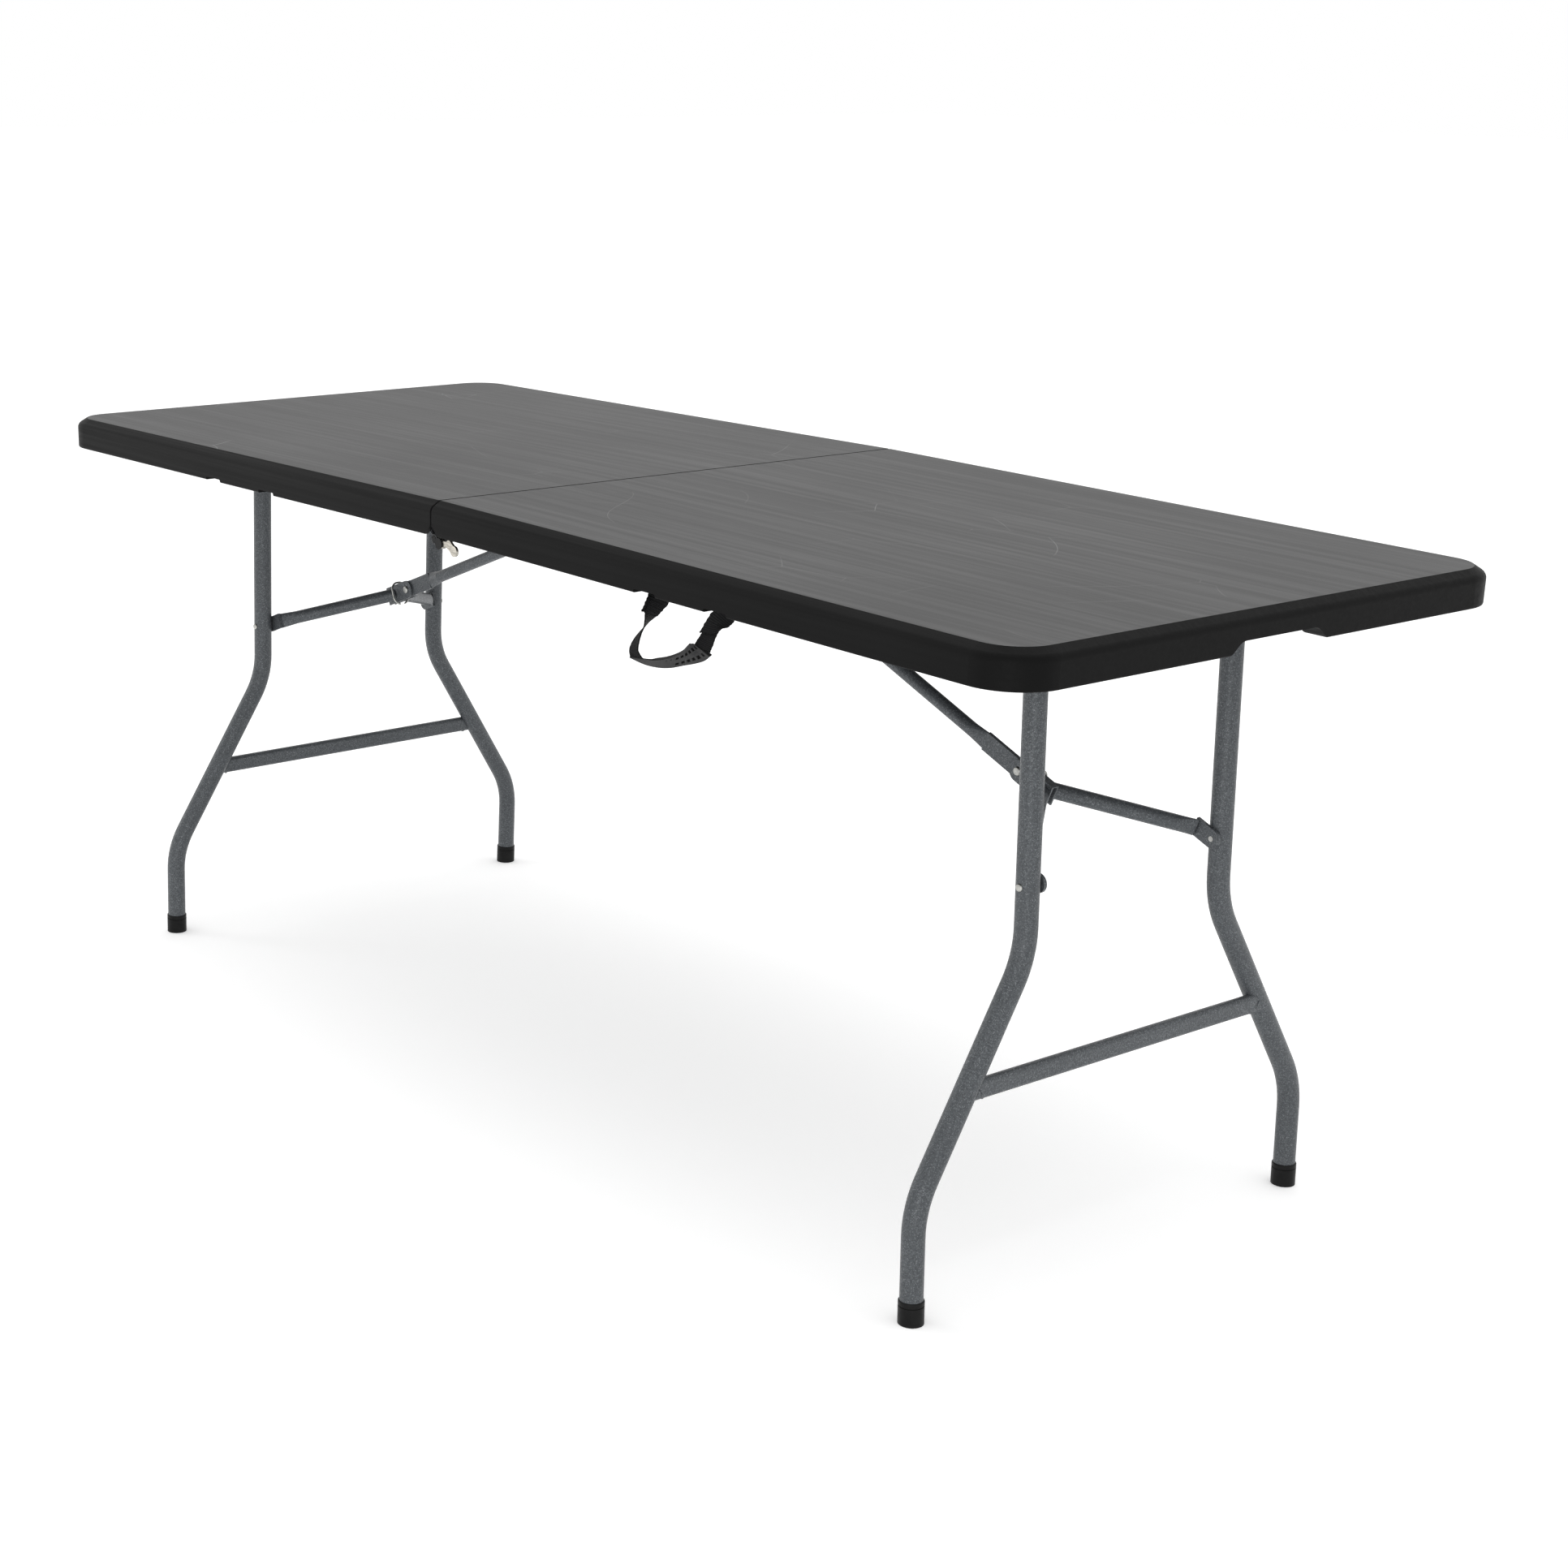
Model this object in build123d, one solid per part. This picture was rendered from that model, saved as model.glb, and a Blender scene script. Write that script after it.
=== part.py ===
from build123d import *
import math
import os

# A fold-in-half trestle table: two moulded plastic halves, hinged at the seam, each on a folding
# steel leg frame. Millimetres, +Z up, X along the table, Y across it. The origin is on the floor
# under the middle of the table. Everything is built for the +X ("right") half first; the left half
# is the same set turned half a turn about Z.

# ---- driving dimensions -------------------------------------------------------------------------
LENGTH = 1830.0             # overall, seam to seam plus both halves
WIDTH = 740.0
END_HEIGHT = 740.0          # top face at the two short ends
CROWN = 8.0                 # how far the seam stands above the short ends
RIM_DEPTH = 40.0
CORNER_RADIUS = 58.0
SHOULDER_IN = 13.0          # bevelled shoulder between the flat top and the rim
SHOULDER_DOWN = 8.0
SHOULDER_ROUND = 9.0
SEAM_GAP = 0.8              # half of the slit between the two halves, at the top
EDGE_ROUND = 2.0

HALF_LENGTH = LENGTH / 2
HALF_WIDTH = WIDTH / 2
TILT = math.degrees(math.asin(CROWN / HALF_LENGTH))
SEAM_HEIGHT = END_HEIGHT + CROWN

PANEL_THICK = 15.5          # moulded double wall of the top, inside the rim
RIM_WALL = 28.0
SEAM_WALL = 24.0
SKIN = 5.2                  # single wall over the brace recess
RECESS_HALF_WIDTH = 70.0
RECESS_END = 700.0

PIN_DROP = 4.3              # centre hinge pin below the rim's lower edge
PIN_DOWN = RIM_DEPTH + PIN_DROP

LEG_TUBE = 25.0
LEG_WALL = 1.4
LEG_PIVOT_X = 738.4         # along the half, from the seam
LEG_PIVOT_DOWN = 29.8       # below the top face
LEG_SPLAY = 1.9             # degrees, feet outwards
LEG_UPPER_Y = 150.0
LEG_LOWER_Y = 298.5
LEG_BEND_TOP = 346.0        # down the leg from its pivot
LEG_BEND_LOW = 586.0
LEG_BEND_RADIUS = 110.0
PIVOT_TUBE = 22.0
PIVOT_TUBE_END = 339.5
CROSSBAR_DOWN = 474.0       # down the leg
CROSSBAR_TALL = 22.0
CROSSBAR_THICK = 11.6
CROSSBAR_OUT = 5.0          # outwards of the leg tubes' plane, so the folded brace fits inside it
FOOT_CAP = 27.7
FOOT_CAP_TALL = 26.0
FOOT_COLLAR = 5.0

BRACE_PIVOT_X = 20.0
BRACE_PIVOT_DOWN = 17.0
BRACE_TUBE = 16.0
FLAT_WIDE = 22.0            # tube pressed flat
FLAT_THICK = 5.0
FLAT_LONG = 58.0
FLAT_TAPER = 26.0
ARM_TUBE = 18.0
ARM_PIVOT_DOWN = 271.5      # down the leg
TAB_THICK = 4.0
TAB_GAP = 0.4
CHEEK_GAP = 3.0             # half of the room between the knee channel's cheeks
CHEEK_THICK = 2.5
CHEEK_WIDE = 25.0
WEB_THICK = 1.5
CHANNEL_LONG = 50.0
RIVET = 6.0
RIVET_HEAD = 10.0
RUNNING_FIT = 0.08          # radial
WELD_GAP = 0.1

RING_WIRE = 2.6
RING_WIDE = 27.0
RING_TALL = 34.0
RING_AT = 25.0              # from the knee rivet, towards the legs
RING_DROP = 0.4
RING_SPLIT = 7.2            # lets the flattened brace past as the knee folds

RAIL_WEB_Y = 337.0
RAIL_THICK = 2.0
RAIL_TOP_FLANGE = 18.0
RAIL_LOW_FLANGE = 10.0
RAIL_START = 29.0
RAIL_END = 800.0
RAIL_BOTTOM = 38.6          # below the top face

KNUCKLE = 12.0
HINGE_PIN = 6.0
HINGE_FACE_Y = 363.0        # outer end of the hinge, behind the rim's face
HINGE_INNER_Y = 320.0

NOTCH_DEEP = 13.0           # in the rim's lower edge, at the short ends
NOTCH_HALF_LOW = 80.0
NOTCH_HALF_TOP = 51.0
STRAP_NOTCH_WIDE = 36.0
STRAP_NOTCH_OUTER = 4.0     # depth of the notch in the outer wall
STRAP_WALL = 7.0
STRAP_NOTCH_DEEP = 13.0
HANDLE_Y = -352.0
HANDLE_ROD_DOWN = 33.4
HANDLE_ROD = 5.0
STRAP_AT = (394.5, 500.5)   # the two straps' rods, in notches of the right half's front rim
NOTCH_AT = (391.0, 504.0)
LEFT_NOTCH_AT = (498.0, 366.5)
WEBBING_WIDE = 22.0
WEBBING_THICK = 2.4
ROD_LONG = 50.0

# ---- places worked out from them ----------------------------------------------------------------
HALF = Pos(0, 0, SEAM_HEIGHT) * Rot(0, TILT, 0)      # seam end of the right half's top face
TURN = Rot(0, 0, 180)                                # right half to left half


def in_half(x, y, down):
    """A point of the half, from its seam end and its top face, as a world vector."""
    return (HALF * Pos(x, y, -down)).position


LEG_PIVOT = in_half(LEG_PIVOT_X, 0, LEG_PIVOT_DOWN)
LEG = Pos(LEG_PIVOT) * Rot(0, -LEG_SPLAY, 0)
LEG_LENGTH = LEG_PIVOT.Z / math.cos(math.radians(LEG_SPLAY))
ARM_PIVOT = (LEG * Pos(0, 0, -ARM_PIVOT_DOWN)).position
BRACE_PIVOT = in_half(BRACE_PIVOT_X, 0, BRACE_PIVOT_DOWN)

# The brace and the arms lie in one line when the table stands, and one over the other when the leg
# is folded, so their sum is the standing distance and their difference is the folded one.
STANDING = (ARM_PIVOT - BRACE_PIVOT).length
FOLDED = LEG_PIVOT_X - ARM_PIVOT_DOWN - BRACE_PIVOT_X
BRACE_LONG = (STANDING + FOLDED) / 2
ARM_LONG = (STANDING - FOLDED) / 2
BRACE_SLOPE = math.degrees(math.atan2(BRACE_PIVOT.Z - ARM_PIVOT.Z, ARM_PIVOT.X - BRACE_PIVOT.X))
BRACE = Pos(BRACE_PIVOT) * Rot(0, BRACE_SLOPE, 0)    # +X runs down the brace
KNEE = BRACE * Pos(BRACE_LONG, 0, 0)
PIN_X = PIN_DOWN * math.tan(math.radians(TILT))      # so that both halves share the pin
HINGE_AXIS = in_half(PIN_X, 0, PIN_DOWN)


def rod_y(radius, y0, y1):
    """A round bar along Y from y0 to y1."""
    return Pos(0, (y0 + y1) / 2, 0) * Rot(90, 0, 0) * Cylinder(radius, abs(y1 - y0))


def block(x0, x1, y0, y1, z0, z1):
    """A box between two corners."""
    return Pos((x0 + x1) / 2, (y0 + y1) / 2, (z0 + z1) / 2) * Box(x1 - x0, abs(y1 - y0), z1 - z0)


def both_sides(maker):
    """The same piece on the front (-Y) and the back (+Y)."""
    piece = maker()
    return {"front": mirror(piece, about=Plane.XZ), "back": piece}


# ---- moulded top --------------------------------------------------------------------------------
def outer_body():
    """The half's outer form: flat top, bevelled shoulder, rim with two rounded corners."""
    plan = Pos(HALF_LENGTH / 2, 0) * Rectangle(HALF_LENGTH, WIDTH)
    body = extrude(plan, -RIM_DEPTH)
    upright = body.edges().filter_by(Axis.Z).sort_by(Axis.X)[-2:]
    body = fillet(upright, CORNER_RADIUS)
    top = body.faces().sort_by(Axis.Z)[-1]
    top_edges = [e for e in top.edges() if e.center().X > 1]
    return chamfer(top_edges, SHOULDER_IN, SHOULDER_DOWN, reference=top)


def shoulder_round(body):
    """Rounds the lower edge of the bevelled shoulder into the rim."""
    ring = [e for e in body.edges() if abs(e.center().Z + SHOULDER_DOWN) < 0.3 and e.center().X > 1]
    return fillet(ring, SHOULDER_ROUND)


def end_notch():
    """The shallow hand notch in the short end's rim, with S-shaped ends."""
    low = -RIM_DEPTH - 1
    top = -RIM_DEPTH + NOTCH_DEEP
    middle = (NOTCH_HALF_LOW + NOTCH_HALF_TOP) / 2
    right = Bezier((NOTCH_HALF_LOW, low), (middle, low), (middle, top), (NOTCH_HALF_TOP, top))
    left = Bezier((-NOTCH_HALF_TOP, top), (-middle, top), (-middle, low), (-NOTCH_HALF_LOW, low))
    roof = Line((NOTCH_HALF_TOP, top), (-NOTCH_HALF_TOP, top))
    floor = Line((-NOTCH_HALF_LOW, low), (NOTCH_HALF_LOW, low))
    face = make_face([right, roof, left, floor])
    plane = Plane(origin=(HALF_LENGTH + 1, 0, 0), x_dir=(0, 1, 0), z_dir=(1, 0, 0))
    return extrude(plane * face, -RIM_WALL - 2)


def strap_notch(x, side):
    """A pocket in the rim's lower edge for a strap and its rod, with a shallow notch in the outer wall."""
    y0 = side * (HALF_WIDTH - RIM_WALL - 1)
    y1 = side * (HALF_WIDTH - STRAP_WALL)
    half = STRAP_NOTCH_WIDE / 2
    low = -RIM_DEPTH - 1
    pocket = block(x - half, x + half, min(y0, y1), max(y0, y1), low, -RIM_DEPTH + STRAP_NOTCH_DEEP)
    pocket = fillet(pocket.edges().filter_by(Axis.Y).group_by(Axis.Z)[-1], 3)
    outer = Pos(x, side * HALF_WIDTH, -RIM_DEPTH) * Box(STRAP_NOTCH_WIDE, 30, 2 * STRAP_NOTCH_OUTER)
    return pocket + fillet(outer.edges().filter_by(Axis.Y).group_by(Axis.Z)[-1], 2.5)


def underside_pocket():
    """The hollow under the panel that the folded leg frame lies in."""
    x1 = HALF_LENGTH - RIM_WALL
    y1 = HALF_WIDTH - RIM_WALL
    pocket = block(SEAM_WALL, x1, -y1, y1, -RIM_DEPTH - 1, -PANEL_THICK)
    pocket = fillet(pocket.edges().filter_by(Axis.Z).sort_by(Axis.X)[-2:], CORNER_RADIUS - RIM_WALL)
    return fillet(pocket.faces().sort_by(Axis.Z)[-1].edges(), 4)


def brace_recess():
    """The deeper recess along the middle for the folded brace, knee and ring."""
    recess = block(6, RECESS_END, -RECESS_HALF_WIDTH, RECESS_HALF_WIDTH, -RIM_DEPTH - 1, -SKIN)
    return fillet(recess.edges().filter_by(Axis.Z), 5)


def hinge_room(side):
    """Room for a hinge leaf and the rail's end, behind the rim's outer skin."""
    room = block(-1, SEAM_WALL + 1, 316, HINGE_FACE_Y + 1, -RIM_DEPTH - 1, -24)
    return room if side > 0 else mirror(room, about=Plane.XZ)


def seam_corner():
    """The corner cut away under the seam, round the hinge, with a slanted face above it."""
    low = -RIM_DEPTH - 1
    outline = Polyline((-1, low), (15, low), (-1, -RIM_DEPTH + 14), (-1, low))
    return extrude(Plane.XZ * make_face(outline), HALF_WIDTH + 1, both=True)


def tabletop(strap_places, strap_side):
    """One moulded half, in the half's own frame."""
    body = outer_body()
    body = shoulder_round(body)
    lower = body.faces().sort_by(Axis.Z)[0].edges()
    body = fillet([e for e in lower if e.center().X > 1], EDGE_ROUND)
    body -= block(-1, SEAM_GAP, -HALF_WIDTH - 1, HALF_WIDTH + 1, -RIM_DEPTH - 1, 1)
    body -= seam_corner()
    end_face = body.faces().filter_by(Plane.YZ).sort_by(Axis.X)[0]
    soft = [e for e in end_face.edges() if e.center().Z > -RIM_DEPTH + 16]
    body = fillet(soft, 1.2)
    body -= end_notch()
    body -= underside_pocket()
    body -= brace_recess()
    for side in (-1, 1):
        body -= hinge_room(side)
    for x in strap_places:
        body -= strap_notch(x, strap_side)
    return body


def rod_holes(body):
    """Blind holes in the two strap notches for the handle's rods."""
    for x in STRAP_AT:
        body -= Pos(x, HANDLE_Y, -HANDLE_ROD_DOWN) * Rot(0, 90, 0) * Cylinder(HANDLE_ROD / 2 + 0.05, ROD_LONG + 2)
    return body


# ---- steel under the top ------------------------------------------------------------------------
def rail():
    """A steel channel along the back edge of the half, open towards the middle."""
    y = RAIL_WEB_Y
    top = -PANEL_THICK
    bottom = -RAIL_BOTTOM
    web = block(RAIL_START, RAIL_END, y - RAIL_THICK, y, bottom, top)
    upper = block(RAIL_START, RAIL_END, y - RAIL_TOP_FLANGE, y, top - RAIL_THICK, top)
    lower = block(RAIL_START, RAIL_END, y - RAIL_LOW_FLANGE, y, bottom, bottom + RAIL_THICK)
    bar = web + upper + lower
    bore = Pos(LEG_PIVOT_X, y, -LEG_PIVOT_DOWN) * Rot(90, 0, 0)
    bar -= bore * Cylinder(PIVOT_TUBE / 2 + RUNNING_FIT, 30)
    return bar


def screw(x, y, down, radius=4.2, tall=1.8):
    """A pan-head screw seen from below, its head on a face that lies at this depth."""
    head = Pos(x, y, -down - tall / 2) * Cylinder(radius, tall)
    head = fillet(head.edges().sort_by(Axis.Z)[0], 0.9)
    return head - Pos(x, y, -down - tall) * Box(4.5, 1.0, 1.2)


def rail_screws():
    """Screws through the rails' upper flanges."""
    down = PANEL_THICK + RAIL_THICK
    places = [(x, side * 327.0) for x in (90, 320, 550, 775) for side in (-1, 1)]
    return [screw(x, y, down) for x, y in places]


SADDLE_Y = 232.0
SADDLE_WIDE = 26.0
SADDLE_FOOT = 5.0


def saddle(side):
    """A plastic saddle that holds the legs' pivot tube up against the panel."""
    radius = PIVOT_TUBE / 2 + 2.6
    y = side * SADDLE_Y
    hump = Pos(LEG_PIVOT_X, y, -LEG_PIVOT_DOWN) * Rot(90, 0, 0) * Cylinder(radius, SADDLE_WIDE)
    sides = block(LEG_PIVOT_X - radius, LEG_PIVOT_X + radius, y - SADDLE_WIDE / 2, y + SADDLE_WIDE / 2,
                  -LEG_PIVOT_DOWN, -PANEL_THICK)
    foot = block(LEG_PIVOT_X - 34, LEG_PIVOT_X + 34, y - SADDLE_WIDE / 2, y + SADDLE_WIDE / 2,
                 -PANEL_THICK - SADDLE_FOOT, -PANEL_THICK)
    foot = fillet(foot.edges().filter_by(Axis.Z), 4)
    body = hump + sides + foot
    bore = Pos(LEG_PIVOT_X, y, -LEG_PIVOT_DOWN) * Rot(90, 0, 0)
    return body - bore * Cylinder(PIVOT_TUBE / 2 + RUNNING_FIT, SADDLE_WIDE + 2)


LUG_ROUND = 9.0
BRACKET_BASE = 2.0


def brace_bracket():
    """The two-eared bracket near the seam that carries the brace's upper end."""
    base = block(BRACE_PIVOT_X - 10, BRACE_PIVOT_X + 24, -22, 22, -SKIN - BRACKET_BASE, -SKIN)
    base = fillet(base.edges().filter_by(Axis.Z), 4)
    body = base
    for side in (-1, 1):
        y0 = side * (CHEEK_GAP + 0.2)
        y1 = side * (CHEEK_GAP + 0.2 + CHEEK_THICK)
        ear = Pos(BRACE_PIVOT_X, 0, -BRACE_PIVOT_DOWN) * rod_y(LUG_ROUND, y0, y1)
        ear += block(BRACE_PIVOT_X - LUG_ROUND, BRACE_PIVOT_X + LUG_ROUND, min(y0, y1), max(y0, y1),
                     -BRACE_PIVOT_DOWN, -SKIN - BRACKET_BASE)
        body += ear
    return body - Pos(BRACE_PIVOT_X, 0, -BRACE_PIVOT_DOWN) * rod_y(RIVET / 2 + 0.02, -9, 9)


def bracket_screws():
    """Screws of the brace bracket and of the two saddles."""
    heads = [screw(BRACE_PIVOT_X + 17, y, SKIN + BRACKET_BASE) for y in (-14.5, 14.5)]
    for side in (-1, 1):
        for x in (-26, 26):
            heads.append(screw(LEG_PIVOT_X + x, side * SADDLE_Y, PANEL_THICK + SADDLE_FOOT))
    return heads


def headed_pin(reach):
    """A rivet along Y with a domed head at each end, its shank reaching both ways from the middle."""
    pin = rod_y(RIVET / 2, -reach, reach)
    for side in (-1, 1):
        head = rod_y(RIVET_HEAD / 2, side * reach, side * (reach + 2.2))
        outer = head.edges().filter_by(GeomType.CIRCLE).sort_by(Axis.Y)[-1 if side > 0 else 0]
        pin += fillet(outer, 1.8)
    return pin


# ---- centre hinge -------------------------------------------------------------------------------
def leaf(own_spans):
    """A hinge leaf at the back edge: knuckles on its own spans of Y, a bridge and a tab on the rail."""
    y_in = HINGE_INNER_Y
    y_out = HINGE_FACE_Y
    down = -PIN_DOWN
    body = block(7.5, 10, y_in, y_out, -RIM_DEPTH, -26)
    for y0, y1 in own_spans:
        body += Pos(PIN_X, 0, down) * rod_y(KNUCKLE / 2, y0, y1)
        body += block(2.5, 10, y0, y1, down - 1.5, -RIM_DEPTH + 2)
    tab_y = RAIL_WEB_Y - RAIL_THICK
    body += block(7.5, 62, tab_y - 2.5, tab_y, -RAIL_BOTTOM + 3, -25.5)
    body -= Pos(PIN_X, 0, down) * rod_y(HINGE_PIN / 2 + RUNNING_FIT, y_in - 1, y_out + 1)
    return body


def latch_ear():
    """The plate on the front right leaf that carries the latch lever."""
    plate = block(4, 19, LATCH_EAR_Y, HINGE_FACE_Y, -PIN_DOWN - 9, -RIM_DEPTH + 2)
    plate = fillet(plate.edges().filter_by(Axis.Y).group_by(Axis.Z)[0], 4)
    plate -= Pos(PIN_X, 0, -PIN_DOWN) * rod_y(KNUCKLE / 2 - 1, 300, 400)
    return plate


LATCH_EAR_Y = 360.5
RIGHT_SPANS = [(351.3, HINGE_FACE_Y), (HINGE_INNER_Y, 331.7)]
LEFT_SPANS = [(332.0, 351.0)]


def hinge_pin():
    """The pin of one hinge, with a domed head outside."""
    pin = rod_y(HINGE_PIN / 2, HINGE_INNER_Y - 2, HINGE_FACE_Y + 0.4)
    head = rod_y(4.4, HINGE_FACE_Y + 0.4, HINGE_FACE_Y + 2.6)
    pin += fillet(head.edges().filter_by(GeomType.CIRCLE).sort_by(Axis.Y)[-1], 1.2)
    return pin


def tab_rivets():
    """The rivets that hold the hinge leaves to the rails, two to a leaf."""
    heads = []
    y = RAIL_WEB_Y - RAIL_THICK - 2.5
    for x in (33, 52):
        for side in (-1, 1):
            head = Pos(x, 0, -30) * rod_y(4, side * (y - 2), side * y)
            heads.append(head)
    return heads


# ---- leg frame, in the leg's own frame: pivot at its origin, -Z down the leg ---------------------
def leg_path(end):
    """The bent centre line of the back leg, from the pivot tube to its foot."""
    points = [(0, LEG_UPPER_Y, 0), (0, LEG_UPPER_Y, -LEG_BEND_TOP), (0, LEG_LOWER_Y, -LEG_BEND_LOW),
              (0, LEG_LOWER_Y, -end)]
    return FilletPolyline(*points, radius=LEG_BEND_RADIUS)


def leg_tube():
    """The back leg: a bent round tube, coped onto the pivot tube."""
    end = LEG_LENGTH - 3.5
    path = leg_path(end)
    start = Plane(origin=path @ 0, z_dir=path % 0)
    tube = sweep(start * Circle(LEG_TUBE / 2), path=path)
    tube -= sweep(start * Circle(LEG_TUBE / 2 - LEG_WALL), path=path)
    tube -= rod_y(PIVOT_TUBE / 2 + WELD_GAP, 100, 200)
    tube -= Pos(0, 0, 20) * Box(60, 1000, 40)
    bore = Pos(0, LEG_UPPER_Y, -ARM_PIVOT_DOWN) * Rot(90, 0, 0) * Cylinder(RIVET / 2 + 0.02, 40)
    return tube - bore


def pivot_tube():
    """The cross tube that the legs are welded to and turn about."""
    return rod_y(PIVOT_TUBE / 2, -PIVOT_TUBE_END, PIVOT_TUBE_END) - rod_y(PIVOT_TUBE / 2 - 1.5, -400, 400)


def crossbar():
    """The flat-sided lower bar between the slanting stretches of the two legs."""
    section = RectangleRounded(CROSSBAR_THICK, CROSSBAR_TALL, CROSSBAR_THICK / 2 - 0.6)
    reach = LEG_LOWER_Y
    plane = Plane(origin=(CROSSBAR_OUT, -reach, -CROSSBAR_DOWN), x_dir=(1, 0, 0), z_dir=(0, 1, 0))
    bar = extrude(plane * section, 2 * reach)
    run = LEG_LOWER_Y - LEG_UPPER_Y
    rise = LEG_BEND_LOW - LEG_BEND_TOP
    lean = math.degrees(math.atan2(run, rise))
    middle = ((LEG_LOWER_Y + LEG_UPPER_Y) / 2, -(LEG_BEND_LOW + LEG_BEND_TOP) / 2)
    for side in (-1, 1):
        cope = Pos(0, side * middle[0], middle[1]) * Rot(side * lean, 0, 0)
        bar -= cope * Cylinder(LEG_TUBE / 2 + WELD_GAP, 260)
        bar -= cope * Pos(0, side * 60, 0) * Box(80, 120, 300)
    return bar


def foot_cap():
    """A plastic cap on the back leg's foot: sleeve, collar and a base that lies flat on the floor."""
    bottom = -LEG_LENGTH
    cap = Pos(0, LEG_LOWER_Y, bottom - 2 + (FOOT_CAP_TALL + 2) / 2)
    body = cap * Cylinder(FOOT_CAP / 2, FOOT_CAP_TALL + 2)
    body = fillet(body.edges().filter_by(GeomType.CIRCLE).sort_by(Axis.Z)[-1], 1.2)
    groove = Pos(0, LEG_LOWER_Y, bottom + FOOT_CAP_TALL - FOOT_COLLAR - 0.6)
    body -= groove * (Cylinder(FOOT_CAP / 2 + 1, 1.2) - Cylinder(FOOT_CAP / 2 - 0.7, 1.2))
    body -= Pos(0, LEG_LOWER_Y, bottom + 3.5 + 50) * Cylinder(LEG_TUBE / 2 + 0.05, 100)
    floor = LEG.inverse() * Pos(LEG_PIVOT.X, 0, -20) * Box(400, 1200, 40)
    return body - floor


def arm_rivet(side):
    """The rivet through the leg tube, with its domed head on the outer side."""
    y0 = side * (LEG_UPPER_Y - LEG_TUBE / 2)
    y1 = side * (LEG_UPPER_Y + LEG_TUBE / 2)
    y2 = side * (LEG_UPPER_Y + LEG_TUBE / 2 + 1.8)
    pin = rod_y(RIVET / 2, y0, y1)
    head = rod_y(RIVET_HEAD / 2 - 0.8, y1, y2)
    outer = head.edges().filter_by(GeomType.CIRCLE).sort_by(Axis.Y)[-1 if side > 0 else 0]
    pin += fillet(outer, 1.5)
    return Pos(0, 0, -ARM_PIVOT_DOWN) * pin


# ---- brace, in its own frame: upper pin at the origin, +X down the brace -------------------------
def flattened_end(x_end, x_taper, x_round, radius):
    """A pressed-flat tube end with a rounded tip about x_end, and its taper into the round tube."""
    away = 1 if x_end > x_taper else -1
    plate = Pos((x_end + x_taper) / 2, 0, 0) * Box(abs(x_end - x_taper), FLAT_THICK, 2 * radius)
    plate += Pos(x_end, 0, 0) * rod_y(radius, -FLAT_THICK / 2, FLAT_THICK / 2)
    flat = Plane(origin=(x_taper, 0, 0), x_dir=(0, 0, 1), z_dir=(away, 0, 0))
    full = Plane(origin=(x_round, 0, 0), x_dir=(0, 0, 1), z_dir=(away, 0, 0))
    taper = loft([flat * Ellipse(radius, FLAT_THICK / 2), full * Circle(BRACE_TUBE / 2)])
    return plate + taper


def brace_tube():
    """The long brace: round tube, pressed flat and drilled at both ends."""
    upper = 40.0
    lower = BRACE_LONG - FLAT_LONG
    body = flattened_end(0, upper, upper + FLAT_TAPER, 9.5)
    body += flattened_end(BRACE_LONG, lower, lower - FLAT_TAPER, FLAT_WIDE / 2)
    run = lower - FLAT_TAPER - upper - FLAT_TAPER
    body += Pos(upper + FLAT_TAPER + run / 2, 0, 0) * Rot(0, 90, 0) * Cylinder(BRACE_TUBE / 2, run)
    body -= rod_y(RIVET / 2 + RUNNING_FIT, -9, 9)
    return body - Pos(BRACE_LONG, 0, 0) * rod_y(RIVET / 2 + 0.02, -9, 9)


# ---- yoke at the knee, in the knee's frame: rivet at the origin, +X towards the legs -------------
def knee_channel():
    """The folded steel channel of the knee: two cheeks and a web along their upper edge."""
    radius = CHEEK_WIDE / 2
    body = block(15, CHANNEL_LONG, -CHEEK_GAP - CHEEK_THICK, CHEEK_GAP + CHEEK_THICK,
                 radius - WEB_THICK, radius)
    for side in (-1, 1):
        y0 = side * CHEEK_GAP
        y1 = side * (CHEEK_GAP + CHEEK_THICK)
        body += rod_y(radius, y0, y1)
        body += block(0, CHANNEL_LONG, min(y0, y1), max(y0, y1), -radius, radius)
    return body - rod_y(RIVET / 2 + RUNNING_FIT, -12, 12)


ARM_START = 38.0            # along the channel
ARM_START_Y = CHEEK_GAP + CHEEK_THICK + 0.6
TAB_LONG = 26.0
TAB_Y = LEG_UPPER_Y - LEG_TUBE / 2 - TAB_GAP - TAB_THICK


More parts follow.
